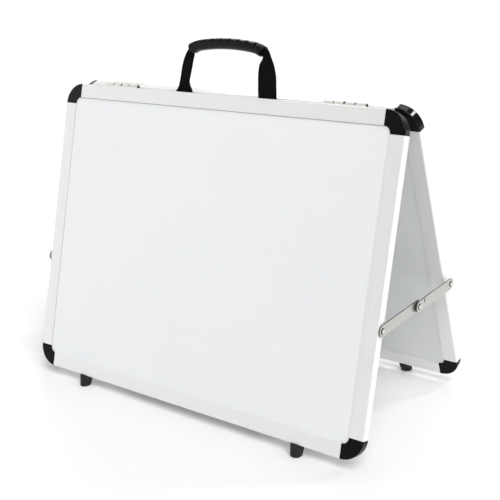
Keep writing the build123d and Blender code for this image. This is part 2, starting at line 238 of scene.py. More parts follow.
def sky_lamp(tree, looking, direction, half_angle, soft_edge, strength):
    """A round soft lamp far away: bright where the line of sight comes near its direction."""
    closeness = tree.nodes.new("ShaderNodeVectorMath")
    closeness.operation = "DOT_PRODUCT"
    closeness.inputs[1].default_value = Vector(direction).normalized()
    tree.links.new(looking, closeness.inputs[0])
    outer = math.cos(math.radians(half_angle + soft_edge))
    inner = math.cos(math.radians(half_angle - soft_edge))
    return smooth_blend(tree, closeness.outputs["Value"], outer, inner, 0.0, strength)


print("one lamp can be drawn")

# %% [markdown]
# ## The sky
# The lamps are simply added to the dim sky. The camera itself sees none of this where it looks past
# the floor: it gets a plain white backdrop, so that the picture stays white from every side. Only
# the light on the pieces, and what mirrors in them, comes from the lamps.

# %% Sky


def make_sky():
    sky = bpy.data.worlds.new("studio_sky")
    bpy.context.scene.world = sky
    sky.use_nodes = True
    tree = sky.node_tree
    looking = tree.nodes.new("ShaderNodeTexCoord").outputs["Generated"]
    right, back, up = taken_apart(tree, looking)
    low = smooth_blend(tree, back, *FRONT_TO_BACK, CAMERA_SIDE, HORIZON)
    high = smooth_blend(tree, right, *LEFT_TO_RIGHT, OVERHEAD_LEFT, OVERHEAD_RIGHT)
    strength = smooth_blend(tree, up, *LOW_TO_HIGH, low, high)
    for _, direction, half_angle, soft_edge, lamp_strength in LAMPS:
        lamp = sky_lamp(tree, looking, direction, half_angle, soft_edge, lamp_strength)
        strength = math_node(tree, "ADD", strength, lamp)
    seen_directly = tree.nodes.new("ShaderNodeLightPath").outputs["Is Camera Ray"]
    strength = smooth_blend(tree, seen_directly, 0.0, 1.0, strength, BACKDROP)
    background = tree.nodes["Background"]
    background.inputs["Color"].default_value = (1.0, 1.0, 1.0, 1.0)
    tree.links.new(strength, background.inputs["Strength"])


make_sky()
bpy.context.scene.view_settings.view_transform = "Standard"
bpy.context.scene.view_settings.look = "None"
print("lamps in the sky:", len(LAMPS))

# %% [markdown]
# ## How a finish is built
# Every finish below is one Principled shader, fed by procedural noise in the part's own metres. So
# a grain of a third of a millimetre stays that size on every piece, and nothing depends on where
# the camera stands. The same steps come back in each recipe, and each has a helper: start a
# material, find the place on the part, make noise that can be stretched, turn it into a range of
# values or of colours, paint over a part of it and raise a faint relief.

# %% Start a finish and find the place


def start_finish(name):
    finish = bpy.data.materials.new(name)
    finish.use_nodes = True
    tree = finish.node_tree
    return finish, tree, tree.nodes["Principled BSDF"]


def object_place(tree, stretch=(1.0, 1.0, 1.0), tilt=0.0):
    """Metres in the part's own frame, first turned about X by tilt and then stretched."""
    place = tree.nodes.new("ShaderNodeTexCoord")
    turned = tree.nodes.new("ShaderNodeMapping")
    turned.inputs["Rotation"].default_value = (tilt, 0.0, 0.0)
    tree.links.new(place.outputs["Object"], turned.inputs["Vector"])
    stretched = tree.nodes.new("ShaderNodeMapping")
    stretched.inputs["Scale"].default_value = stretch
    tree.links.new(turned.outputs["Vector"], stretched.inputs["Vector"])
    return stretched.outputs["Vector"]


def facing_sideways(tree):
    """1 on a face that looks along X, and 0 on one that looks across it."""
    normal = tree.nodes.new("ShaderNodeTexCoord").outputs["Normal"]
    return math_node(tree, "ABSOLUTE", taken_apart(tree, normal)[0])


print("places ready")

# %% Noise, ranges and colours
MIDDLE_OF_NOISE = (0.3, 0.7)  # nearly all of a noise field lies between these


def noise_field(tree, vector, scale, detail=3.0, roughness=0.5):
    noise = tree.nodes.new("ShaderNodeTexNoise")
    noise.inputs["Scale"].default_value = scale
    noise.inputs["Detail"].default_value = detail
    noise.inputs["Roughness"].default_value = roughness
    tree.links.new(vector, noise.inputs["Vector"])
    return noise.outputs["Fac"]


def spread(tree, field, low, high, start=MIDDLE_OF_NOISE[0], end=MIDDLE_OF_NOISE[1]):
    """Goes straight from low to high while the field goes from start to end."""
    ranged = tree.nodes.new("ShaderNodeMapRange")
    ranged.inputs["From Min"].default_value = start
    ranged.inputs["From Max"].default_value = end
    ranged.inputs["To Min"].default_value = low
    ranged.inputs["To Max"].default_value = high
    tree.links.new(field, ranged.inputs["Value"])
    return ranged.outputs["Result"]


def colour_between(tree, field, dark, light):
    ramp = tree.nodes.new("ShaderNodeValToRGB")
    for stop, place, colour in zip(ramp.color_ramp.elements, MIDDLE_OF_NOISE, (dark, light)):
        stop.position = place
        stop.color = (*colour, 1.0)
    tree.links.new(field, ramp.inputs["Fac"])
    return ramp.outputs["Color"]


print("noise is spread over its middle part", MIDDLE_OF_NOISE)

# %% Paint, relief and dressing


def painted_over(tree, base, paint, where):
    """The base colour, and a plain paint instead of it where the mask is 1."""
    mix = tree.nodes.new("ShaderNodeMix")
    mix.data_type = "RGBA"
    mix.inputs["B"].default_value = (*paint, 1.0)
    tree.links.new(where, mix.inputs["Factor"])
    tree.links.new(base, mix.inputs["A"])
    return mix.outputs["Result"]


def add_relief(tree, shader, field, height, strength=1.0):
    bump = tree.nodes.new("ShaderNodeBump")
    bump.inputs["Strength"].default_value = strength
    bump.inputs["Distance"].default_value = height
    tree.links.new(field, bump.inputs["Height"])
    tree.links.new(bump.outputs["Normal"], shader.inputs["Normal"])


def dress(names, finish):
    """Gives carried-over pieces their finish."""
    for name in names:
        mesh = nodes[name].data
        mesh.materials.clear()
        mesh.materials.append(finish)
    print(finish.name, "on", len(names), "pieces")


print("ready to dress", len(nodes), "pieces")

# %% [markdown]
# ## The writing surface
# A dry-wipe face is thin steel under hard white lacquer. Sprayed lacquer is never perfectly flat: it
# has the faint swell that painters call orange peel, a few millimetres from crest to crest. Years of
# wiping leave cloudy strokes that change only the gloss. Both are far too small to model, so the
# swell is a bump and the strokes are stretched noise in the roughness. Where the sheet slips under
# the frame's lip, the lip casts a thin shadow along the top rail and along one side rail. That
# shadow is painted into the lacquer's colour as a grey line, placed by its distance from the lip.

# %% White lacquer
RAIL_FACE = 21.0  # mm, how far the rails lap over a sheet
# The painted shadow beside the lip: how wide it is, and how grey.
LIP_SHADOW_WIDTH = 0.9  # mm, out from under the lip
LIP_SHADOW_GREY = (0.42, 0.42, 0.42)


def in_lip_shadow(tree, tilt, shadowed_side):
    """1 on the painted lip shadow. tilt turns the board upright, and shadowed_side is -1 or 1."""
    along, _, upward = taken_apart(tree, object_place(tree, tilt=tilt))
    lip = hinge_axis.z * math.cos(board_lean) + (RAIL_TOP - RAIL_FACE) * MM
    side_lip = (half_board - RAIL_FACE) * MM
    under_top = math_node(tree, "GREATER_THAN", upward, lip - LIP_SHADOW_WIDTH * MM)
    sideways = math_node(tree, "MULTIPLY", along, shadowed_side)
    beside = math_node(tree, "GREATER_THAN", sideways, side_lip - LIP_SHADOW_WIDTH * MM)
    return math_node(tree, "MAXIMUM", under_top, beside)


def lacquer_finish(name, tilt, shadowed_side):
    finish, tree, shader = start_finish(name)
    shader.inputs["IOR"].default_value = 1.5
    shader.inputs["Coat Weight"].default_value = 0.35
    shader.inputs["Coat Roughness"].default_value = 0.12
    clouds = noise_field(tree, object_place(tree), 6.0)
    white = colour_between(tree, clouds, (0.845, 0.862, 0.880), (0.860, 0.874, 0.888))
    # Painted shadow: a grey line where the lip shades the sheet.
    shade = painted_over(tree, white, LIP_SHADOW_GREY, in_lip_shadow(tree, tilt, shadowed_side))
    tree.links.new(shade, shader.inputs["Base Color"])
    strokes = noise_field(tree, object_place(tree, (2.0, 9.0, 9.0)), 4.0, detail=5.0)
    gloss = spread(tree, strokes, 0.30, 0.33)
    tree.links.new(gloss, shader.inputs["Roughness"])
    swell = noise_field(tree, object_place(tree), 240.0, detail=1.0)
    add_relief(tree, shader, swell, 0.00002, 0.35)
    return finish


dress(["front_writing_sheet"], lacquer_finish("front_lacquer", board_lean, -1))
dress(["rear_writing_sheet"], lacquer_finish("rear_lacquer", -board_lean, 1))

# %% [markdown]
# ## The backs and the cores
# The inner faces are a plain grey-white coated sheet without gloss, and the core between the two
# sheets is paper board. The core is covered all round, and it still gets its own finish, because
# the part may be taken apart by whoever uses it.

# %% Backs and cores


def backing_finish():
    finish, tree, shader = start_finish("coated_back")
    clouds = noise_field(tree, object_place(tree), 9.0)
    shade = colour_between(tree, clouds, (0.785, 0.800, 0.812), (0.810, 0.822, 0.832))
    tree.links.new(shade, shader.inputs["Base Color"])
    shader.inputs["Roughness"].default_value = 0.55
    grain = noise_field(tree, object_place(tree), 1400.0, detail=2.0)
    add_relief(tree, shader, grain, 0.00004, 0.3)
    return finish


def paper_finish():
    finish, tree, shader = start_finish("paper_board")
    fibres = noise_field(tree, object_place(tree, (1.0, 6.0, 6.0)), 300.0, detail=6.0)
    shade = colour_between(tree, fibres, (0.42, 0.30, 0.19), (0.58, 0.45, 0.31))
    tree.links.new(shade, shader.inputs["Base Color"])
    shader.inputs["Roughness"].default_value = 0.9
    add_relief(tree, shader, fibres, 0.0001, 0.5)
    return finish


dress([name for name in nodes if name.endswith("backing_sheet")], backing_finish())
dress([name for name in nodes if name.endswith("_core")], paper_finish())

# %% [markdown]
# ## The frame
# The rails are extruded aluminium, etched and anodised to a pale satin silver. Extrusion leaves very
# fine lines along each rail, so its noise is stretched over a thousand times along the rail's run. A
# rail that runs across needs lines along X, and a side rail needs them along its own leaning
# edge: so there are three versions of one recipe, and only their mapping differs.

# %% Satin aluminium
ALONG_THE_LINES = 2.0
ACROSS_THE_LINES = 2400.0


def rail_finish(name, lines, tilt=0.0):
    """lines stretches the noise, and tilt turns the side rails' lines upright."""
    finish, tree, shader = start_finish(name)
    shader.inputs["Metallic"].default_value = 0.3
    drawn = noise_field(tree, object_place(tree, lines, tilt), 1.0, detail=2.0)
    shade = colour_between(tree, drawn, (0.845, 0.85, 0.84), (0.885, 0.89, 0.88))
    tree.links.new(shade, shader.inputs["Base Color"])
    etch = noise_field(tree, object_place(tree), 40.0, detail=4.0)
    gloss = spread(tree, etch, 0.36, 0.46)
    tree.links.new(gloss, shader.inputs["Roughness"])
    add_relief(tree, shader, drawn, 0.000012, 0.4)
    return finish


across = (ALONG_THE_LINES, ACROSS_THE_LINES, ACROSS_THE_LINES)
upright = (ACROSS_THE_LINES, ACROSS_THE_LINES, ALONG_THE_LINES)
across_rails = [name for name in nodes if name.endswith(("top_rail", "bottom_rail"))]
dress(across_rails, rail_finish("rail_across", across))
dress(["front_left_rail", "front_right_rail"], rail_finish("rail_front_side", upright, board_lean))
dress(["rear_left_rail", "rear_right_rail"], rail_finish("rail_rear_side", upright, -board_lean))

# %% [markdown]
# ## Corner caps and feet
# The caps are moulded in smooth black plastic. Their gloss is what shows them: it turns the small
# lamps behind the easel into thin bright strips along the rounded rims, and only a very faint grain
# breaks them up. The lower caps get a weaker gloss as painted shade, so that they mirror less of the
# bright floor and look darker. The feet are a softer black rubber: no clear highlight, and a dusty
# bloom in places.

# %% Black plastic


def cap_finish(name, specular):
    finish, tree, shader = start_finish(name)
    clouds = noise_field(tree, object_place(tree), 90.0)
    shade = colour_between(tree, clouds, (0.002, 0.002, 0.002), (0.0035, 0.0035, 0.0035))
    tree.links.new(shade, shader.inputs["Base Color"])
    shader.inputs["Specular IOR Level"].default_value = specular
    gloss = spread(tree, clouds, 0.07, 0.11)
    tree.links.new(gloss, shader.inputs["Roughness"])
    grain = noise_field(tree, object_place(tree), 2800.0, detail=1.0)
    add_relief(tree, shader, grain, 0.00001, 0.05)
    return finish


dress([name for name in nodes if "_cap_top_" in name], cap_finish("cap_plastic", 0.2))
# Painted shade: the lower caps' copy mirrors less, so they look darker.
dress([name for name in nodes if "_cap_bottom_" in name], cap_finish("shaded_lower_cap_plastic", 0.09))

# %% Rubber


def rubber_finish():
    finish, tree, shader = start_finish("foot_rubber")
    bloom = noise_field(tree, object_place(tree), 160.0, detail=5.0)
    shade = colour_between(tree, bloom, (0.003, 0.003, 0.003), (0.006, 0.006, 0.006))
    tree.links.new(shade, shader.inputs["Base Color"])
    shader.inputs["Roughness"].default_value = 0.68
    add_relief(tree, shader, bloom, 0.00005, 0.4)
    return finish


dress([name for name in nodes if "_foot_" in name], rubber_finish())

# %% [markdown]
# ## Plated steel
# The fittings are nickel-plated steel, a shade warmer than the aluminium. A rivet's head is a dome on
# a flat washer, and all round its foot it mirrors the dark gap between them. That dark reflection is
# less than a millimetre wide, so it is a painted reflection, a dark ring in the colour. It is found
# from the surface's own direction: the top of a head looks along X, and its foot looks away from it.

# %% Screws, spacers and rivets


def nickel_finish(name, dark, light, rim=None):
    """rim is the colour of the painted dark reflection round the foot of a head, for pieces that have
    one.
    """
    finish, tree, shader = start_finish(name)
    shader.inputs["Metallic"].default_value = 0.6
    clouds = noise_field(tree, object_place(tree), 220.0, detail=4.0)
    face = colour_between(tree, clouds, dark, light)
    if rim:
        # Painted reflection: a dark ring where a head meets the plate under it.
        foot = spread(tree, facing_sideways(tree), 1.0, 0.0, 0.86, 0.93)
        face = painted_over(tree, face, rim, foot)
    tree.links.new(face, shader.inputs["Base Color"])
    gloss = spread(tree, clouds, 0.27, 0.32)
    tree.links.new(gloss, shader.inputs["Roughness"])
    return finish


plate_finish = nickel_finish("nickel_plate", (0.70, 0.69, 0.65), (0.74, 0.73, 0.69))
head_shades = (0.66, 0.65, 0.62), (0.76, 0.75, 0.72)
head_finish = nickel_finish("rivet_nickel", *head_shades, rim=(0.05, 0.05, 0.045))
heads = [name for name in nodes if name.endswith(("rivets", "rivet_head", "stud"))]
plain_ends = ("_washers", "_spacers", "_tail", "_plates")
plain = [name for name in nodes if name.endswith(plain_ends) or "screws" in name]
dress(heads, head_finish)
dress(plain, plate_finish)

# %% [markdown]
# ## The stays' links
# The links are strip: rolling leaves fine lines along them, and their sheared edges are rougher than
# their faces. The edges are also painted nearly black, a painted reflection of the dark that a thin
# metal edge mirrors. A link's faces look along X, so the edge is found like a head's foot.

# %% Link strip


def link_finish():
    finish, tree, shader = start_finish("link_strip")
    shader.inputs["Metallic"].default_value = 0.85
    drawn = noise_field(tree, object_place(tree, (2600.0, 6.0, 2600.0)), 1.0, detail=2.0)
    face = colour_between(tree, drawn, (0.48, 0.475, 0.45), (0.54, 0.535, 0.51))
    edge = spread(tree, facing_sideways(tree), 1.0, 0.0, 0.45, 0.75)
    # Painted reflection: the thin edges are made nearly black.
    shade = painted_over(tree, face, (0.08, 0.08, 0.075), edge)
    tree.links.new(shade, shader.inputs["Base Color"])
    gloss = spread(tree, edge, 0.34, 0.55, 0.0, 1.0)
    tree.links.new(gloss, shader.inputs["Roughness"])
    add_relief(tree, shader, drawn, 0.00001, 0.3)
    return finish


dress([name for name in nodes if name.endswith("_link")], link_finish())

# %% [markdown]
# ## The hinges
# The leaves are paler and duller than the rivets. What draws them in the picture is
# painted shade, which stands for the shade in the gaps: a dark line in each joint between two
# knuckles, the widest one in the middle, and a thin one where the barrel meets the leaf. Both are
# painted by place, from the hinge's measured ends, and so the same finish serves the left and the
# right hinge.

# %% Hinge leaves
KNUCKLES = 4
BARREL_RADIUS = 3.0  # mm
MIDDLE_JOINT = 1.4  # mm, half of the dark line's width
OUTER_JOINT = 0.8  # mm, the same
SEAM_PLACE = BARREL_RADIUS + 0.35  # mm, from the hinge axis
SEAM_HALF = 0.3  # mm
hinge_middle = (hinge_start + hinge_end) / 2
knuckle_pitch = (hinge_end - hinge_start) / KNUCKLES


def lies_near(tree, field, middle, half_width):
    """1 where the field lies within half a width of its middle, in mm, and 0 elsewhere."""
    offset = math_node(tree, "SUBTRACT", field, middle * MM)
    return math_node(tree, "LESS_THAN", math_node(tree, "ABSOLUTE", offset), half_width * MM)


def painted_joint_shade(tree):
    """1 where shade is painted: in the joints between the knuckles and along the barrel's seam."""
    x, y, _ = taken_apart(tree, object_place(tree))
    sideways = math_node(tree, "ABSOLUTE", x)
    from_axis = math_node(tree, "ABSOLUTE", y)
    from_middle = math_node(tree, "SUBTRACT", sideways, hinge_middle * MM)
    along = math_node(tree, "ABSOLUTE", from_middle)
    middle_joint = lies_near(tree, along, 0.0, MIDDLE_JOINT)
    outer_joints = lies_near(tree, along, knuckle_pitch, OUTER_JOINT)
    joints_across = math_node(tree, "MAXIMUM", middle_joint, outer_joints)
    on_barrel = lies_near(tree, from_axis, 0.0, BARREL_RADIUS)
    dark_joints = math_node(tree, "MULTIPLY", joints_across, on_barrel)
    return math_node(tree, "MAXIMUM", dark_joints, lies_near(tree, from_axis, SEAM_PLACE, SEAM_HALF))


def hinge_finish():
    finish, tree, shader = start_finish("hinge_plate")
    shader.inputs["Metallic"].default_value = 0.25
    shader.inputs["Roughness"].default_value = 0.42
    clouds = noise_field(tree, object_place(tree), 220.0, detail=4.0)
    face = colour_between(tree, clouds, (0.74, 0.735, 0.69), (0.82, 0.815, 0.78))
    # Painted shade in the joints between knuckles and along the seam.
    shade = painted_over(tree, face, (0.06, 0.06, 0.055), painted_joint_shade(tree))
    tree.links.new(shade, shader.inputs["Base Color"])
    return finish


dress([name for name in nodes if name.endswith("_leaf")], hinge_finish())
print("a joint every", round(knuckle_pitch, 2), "mm")

# %% [markdown]
# ## Pins and middle washers
# The hinge pins' ends look black in the picture, and the washer between two links is dark too. Both
# are given a near-black finish here.

# %% Near-black pins and washers


def near_black_finish():
    finish, tree, shader = start_finish("near_black_fittings")
    clouds = noise_field(tree, object_place(tree), 400.0)
    shade = colour_between(tree, clouds, (0.012, 0.012, 0.010), (0.020, 0.020, 0.016))
    tree.links.new(shade, shader.inputs["Base Color"])
    shader.inputs["Roughness"].default_value = 0.5
    return finish


dress([name for name in nodes if name.endswith(("_pin", "middle_washer"))], near_black_finish())

# %% [markdown]
# ## Building a long soft piece from rings
# The grip and the webbing are both long pieces whose outline changes as they go. The plain way is
# a skin over many rings: every ring has the same number of points, and each point is joined to
# its neighbours on its own ring and the next. UVs in millimetres come free, because the
# position along the piece and round the ring are known when a point is made.

# %% Skin over rings


def add_quad(shape, layer, rows, uvs, row, step):
    """One face between two rings. The last one of a ring closes it, and its UVs go on past the end."""
    after = (step + 1) % len(rows[row])
    corners = (
        (row, step, step),
        (row, after, step + 1),
        (row + 1, after, step + 1),
        (row + 1, step, step),
    )
    face = shape.faces.new([rows[r][point] for r, point, _ in corners])
    face.smooth = True
    for loop, (r, _, place) in zip(face.loops, corners):
        loop[layer].uv = uvs[r][place]


def skin(name, rings, uvs, finish):
    """Joins closed rings of points into one mesh, and closes both ends."""
    shape = bmesh.new()
    layer = shape.loops.layers.uv.new("cloth")
    rows = [[shape.verts.new(point) for point in ring] for ring in rings]
    for row in range(len(rows) - 1):
        for step in range(len(rows[row])):
            add_quad(shape, layer, rows, uvs, row, step)
    shape.faces.new(rows[0])
    shape.faces.new(list(reversed(rows[-1])))
    bmesh.ops.recalc_face_normals(shape, faces=shape.faces)
    mesh = bpy.data.meshes.new(name)
    shape.to_mesh(mesh)
    shape.free()
    mesh.materials.append(finish)
    piece = bpy.data.objects.new(name, mesh)
    bpy.context.scene.collection.objects.link(piece)
    return piece


def smooth_step(value, start, end):
    share = min(max((value - start) / (end - start), 0.0), 1.0)
    return share * share * (3 - 2 * share)


print("half way up a smooth step:", smooth_step(0.5, 0.0, 1.0))

# %% [markdown]
# ## The grip's middle line
# The moulded grip is a flat arch: one large arc in the middle and a tighter arc at each end. The
# webbing leaves its ends in the direction of the arch. Both are worked out here in the handle's
# own plane: x to the right and z up from the bend of the webbing, in millimetres.

# %% Arch
HANDLE_LEAN = math.radians(12.1)  # backwards, at rest
GRIP_RISE = 70.8  # mm, as all the sizes of the handle below
CROWN_RADIUS = 330.0
CROWN_HALF = 46.0
END_RADIUS = 50.0
END_TURN = math.radians(21.0)
crown_turn = math.asin(CROWN_HALF / CROWN_RADIUS)
crown_length = CROWN_RADIUS * crown_turn
half_length = crown_length + END_RADIUS * END_TURN


def arch_point(along):
    """Point and heading of the middle line, along is measured from the grip's middle."""
    side = 1.0 if along >= 0 else -1.0
    distance = abs(along)
    centre_z = GRIP_RISE - CROWN_RADIUS
    angle = min(distance, crown_length) / CROWN_RADIUS
    x = CROWN_RADIUS * math.sin(angle)
    z = centre_z + CROWN_RADIUS * math.cos(angle)
    rest = distance - crown_length
    if rest > 0:
        end_angle = angle + rest / END_RADIUS
        x += END_RADIUS * (math.sin(end_angle) - math.sin(angle))
        z += END_RADIUS * (math.cos(end_angle) - math.cos(angle))
        angle = end_angle
    return side * x, z, side * angle


def handle_to_world(x, depth, z):
    """From the handle's plane, in millimetres, to the part's frame, in metres."""
    back = depth * math.cos(HANDLE_LEAN) + z * math.sin(HANDLE_LEAN)
    up = z * math.cos(HANDLE_LEAN) - depth * math.sin(HANDLE_LEAN)
    return strap_bend + Vector((x, back, up)) * MM


end_heading = arch_point(half_length)[2]
print("grip is", round(2 * half_length, 1), "mm along its arch")
print("its ends slope by", round(math.degrees(end_heading), 1), "degrees")

# %% [markdown]
# ## The grip
# It is one soft-touch moulding. Its section is an oval with a fuller top, and eight deep grooves
# cross the top and run well down its sides, where the fingers hold it. A plain collar closes each
# end round the webbing. The grooves could be cut with Booleans, but a mesh made of fine rings can
# simply sink where a groove is, and that gives them soft rounded lips as a moulding has. The inside
# of a groove gets painted shade: a darker and duller copy of the grip's finish, which stands for the
# shade in the hollow. So the grip has two finishes from one recipe, and the faces that lie in a
# groove get the second one.

# %% Grip finishes


def grip_finish(name, dark, light, specular, roughness):
    finish, tree, shader = start_finish(name)
    clouds = noise_field(tree, object_place(tree), 120.0)
    shade = colour_between(tree, clouds, (dark, dark, dark), (light, light, light))
    tree.links.new(shade, shader.inputs["Base Color"])
    shader.inputs["Specular IOR Level"].default_value = specular
    gloss = spread(tree, clouds, roughness, roughness + 0.06)
    tree.links.new(gloss, shader.inputs["Roughness"])
    grain = noise_field(tree, object_place(tree), 2200.0, detail=2.0)
    add_relief(tree, shader, grain, 0.00004, 0.4)
    return finish


plain_grip_finish = grip_finish("grip_rubber", 0.004, 0.006, 0.17, 0.30)
# Painted shade: the grooves' copy is darker and mirrors less, for the shade in the hollows.
groove_shade_finish = grip_finish("grip_grooves", 0.0008, 0.0015, 0.03, 0.70)
print("grip finishes:", plain_grip_finish.name, "and", groove_shade_finish.name)

# %% Grooves
GROOVES = 8
GROOVE_PITCH = 14.8
GROOVE_WIDTH = 3.8
GROOVE_SINK = 3.6
GROOVE_REACH = math.radians(74.0)  # from the grip's top down each side
GROOVE_FLOOR = 1.6  # how much steeper than a plain hollow, which gives the groove a flat floor
GROOVE_RUN_OUT = 4.0  # how steeply it ends on the sides


def groove_depth(along, turn):
    """How far the surface sinks. turn is measured from the grip's top, round its section."""
    deepest = 0.0
    for index in range(GROOVES):
        middle = (index - (GROOVES - 1) / 2) * GROOVE_PITCH
        off = abs(along - middle) / (GROOVE_WIDTH / 2)
        sideways = abs(turn) / GROOVE_REACH
        if off < 1 and sideways < 1:
            lips = (1 - off**3) * min(1.0, GROOVE_RUN_OUT * (1 - sideways))
            deepest = max(deepest, GROOVE_SINK * min(1.0, GROOVE_FLOOR * lips))
    return deepest


print("a groove is", groove_depth(GROOVE_PITCH / 2, 0.0), "mm deep")

# %% Collars
COLLAR_LENGTH = 8.0
COLLAR_STEP = 0.1
COLLAR_RAMP = 0.6
GAP_DEPTH = 0.45
GAP_PLACE = COLLAR_LENGTH + 0.5
GAP_WIDTH = 0.55


def collar_step(along):
    """Collars stand out a little beyond a thin gap."""
    from_end = half_length - abs(along)
    step = COLLAR_STEP * (1 - smooth_step(from_end, COLLAR_LENGTH - COLLAR_RAMP, COLLAR_LENGTH))
    gap = math.exp(-(((from_end - GAP_PLACE) / GAP_WIDTH) ** 2))
    return step - GAP_DEPTH * gap


print("a collar stands out by", COLLAR_STEP, "mm and its gap sinks by", GAP_DEPTH, "mm")

# %% Rings of the grip
GRIP_DEPTH = 20.0
GRIP_HEIGHT = 15.4
GRIP_FULLNESS = 2.25  # 2 is a plain oval, and more fills its corners
END_ROUND = 1.6
RING_POINTS = 64


def end_inset(along):
    """How far the grip's rounded end draws in."""
    from_end = half_length - abs(along)
    if from_end >= END_ROUND:
        return 0.0
    return END_ROUND - math.sqrt(max(END_ROUND**2 - (END_ROUND - from_end) ** 2, 0.0))


def grip_ring(along):
    x, z, heading = arch_point(along)
    ring = []
    for index in range(RING_POINTS):
        angle = 2 * math.pi * index / RING_POINTS
        across, upward = math.sin(angle), math.cos(angle)
        power = 2 / GRIP_FULLNESS
        depth = math.copysign(abs(across) ** power, across) * GRIP_DEPTH / 2
        height = math.copysign(abs(upward) ** power, upward) * GRIP_HEIGHT / 2
        length = math.hypot(depth, height)
        sink = end_inset(along) + groove_depth(along, math.atan2(across, upward))
        scale = (length + collar_step(along) - sink) / length
        ring.append(handle_to_world(
            x + scale * height * math.sin(heading),
            scale * depth,
            z + scale * height * math.cos(heading),
        ))
    return ring


print("points in a ring:", len(grip_ring(0.0)))

# %% Grip
RING_STEP = 0.45
IN_A_GROOVE = GROOVE_SINK / 4  # a face that lies deeper than this gets the groove's finish


def paint_grooves(grip, places):
    for row, (start, end) in enumerate(zip(places, places[1:])):
        for step in range(RING_POINTS):
            angle = 2 * math.pi * (step + 0.5) / RING_POINTS
            turn = math.atan2(math.sin(angle), math.cos(angle))
            if groove_depth((start + end) / 2, turn) > IN_A_GROOVE:
                grip.data.polygons[row * RING_POINTS + step].material_index = 1


def make_grip():
    count = round(2 * half_length / RING_STEP)
    places = [half_length * (2 * index / count - 1) for index in range(count + 1)]
    round_it = (GRIP_DEPTH + GRIP_HEIGHT) * math.pi / 2
    around = [round_it * index / RING_POINTS for index in range(RING_POINTS + 1)]
    uvs = [[(u, along) for u in around] for along in places]
    grip = skin("moulded_grip", [grip_ring(along) for along in places], uvs, plain_grip_finish)
    grip.data.materials.append(groove_shade_finish)
    paint_grooves(grip, places)
    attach(grip, "handle")
    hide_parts("handle_grip")
    return grip


grip = make_grip()
print("grip faces:", len(grip.data.polygons))

# %% [markdown]
# ## The webbing's weave
# The straps are 30 mm polypropylene webbing. Its face is a herringbone: slanting ribs about a
# millimetre wide that change direction every few millimetres. The ribs are computed from the UVs,
# which run in millimetres across and along the strap, so the pattern bends with the webbing
# and stays on it when the handle flops over.

# %% Webbing finish
RIB_PITCH = 1.1  # mm
STRIPE_WIDTH = 3.0  # mm


def webbing_finish():
    finish, tree, shader = start_finish("black_webbing")
    woven = tree.nodes.new("ShaderNodeTexCoord").outputs["UV"]
    across, along, _ = taken_apart(tree, woven)
    folded = math_node(tree, "PINGPONG", across, STRIPE_WIDTH)
    slant = math_node(tree, "ADD", along, folded)
    wave = math_node(tree, "SINE", math_node(tree, "MULTIPLY", slant, 2 * math.pi / RIB_PITCH))
    rib = math_node(tree, "MULTIPLY_ADD", wave, 0.5, 0.5)
    yarn = noise_field(tree, woven, 3.0, detail=3.0)
    shade = colour_between(tree, rib, (0.002, 0.002, 0.002), (0.006, 0.006, 0.006))
    tree.links.new(shade, shader.inputs["Base Color"])
    shader.inputs["Roughness"].default_value = 0.85
    shader.inputs["Specular IOR Level"].default_value = 0.06
    shader.inputs["Sheen Weight"].default_value = 0.01
    shader.inputs["Sheen Roughness"].default_value = 0.5
    relief = math_node(tree, "MULTIPLY_ADD", yarn, 0.4, rib)
    add_relief(tree, shader, relief, 0.00022, 0.8)
    return finish


webbing = webbing_finish()
print("a rib every", RIB_PITCH, "mm")

# %% [markdown]
# ## The webbing's clamped ends
# Each strap starts behind the front board's top rail, where its end is folded once under a clamp
# plate. From there it comes up over the rail, where it can bend. This part is drawn in the rail's
# own leaning plane: straight down one layer, round the fold, and straight up the other layer.

# %% Clamped ends
STRAP_SPACING = 150.0  # mm, as all the sizes of the straps below
STRAP_WIDTH = 30.0
STRAP_THICK = 1.8
TAIL_LENGTH = 14.0
BEND_RISE = 1.5
INNER_FACE = -3.0
SHORT_STEPS = 8
FOLD_STEPS = 8
LONG_STEPS = 14


def rail_to_world(x, y, z):
    """From the front board's own upright drawing, hinge axis at zero, to the part's frame."""
    back = y * math.cos(board_lean) + z * math.sin(board_lean)
    up = z * math.cos(board_lean) - y * math.sin(board_lean)
    return hinge_axis + Vector((x, back, up)) * MM


def clamped_route(side):
    """Places and turns along the end: down the short layer, round the fold, up the long layer."""
    x = side * STRAP_SPACING / 2
    bottom = RAIL_TOP - TAIL_LENGTH
    swing = STRAP_THICK / 2
    inner = INNER_FACE + swing
    places = []
    for step in range(SHORT_STEPS + 1):
        height = RAIL_TOP - STRAP_THICK - step * (TAIL_LENGTH - STRAP_THICK) / SHORT_STEPS
        places.append((x, inner, height, math.pi))
    for step in range(1, FOLD_STEPS):
        turn = math.pi * step / FOLD_STEPS
        y = inner + swing - swing * math.cos(turn)
        places.append((x, y, bottom - swing * math.sin(turn), math.pi - turn))
    for step in range(LONG_STEPS + 1):
        height = bottom + step * (TAIL_LENGTH + BEND_RISE) / LONG_STEPS
        places.append((x, inner + STRAP_THICK, height, 0.0))
    return places


print("folded end:", len(clamped_route(1)), "places")

# %% [markdown]
# ## The straps' outlines
# Above the rail a strap is read best from its two edges. The left strap gathers just above the rail
# and rises as a narrow band. The right one stays flat for two thirds of its way and gathers under
# the grip. So each strap is given as a few stations, and each station says where its inner and its
# outer edge lie in the handle's plane. A smooth curve through the stations does the rest.

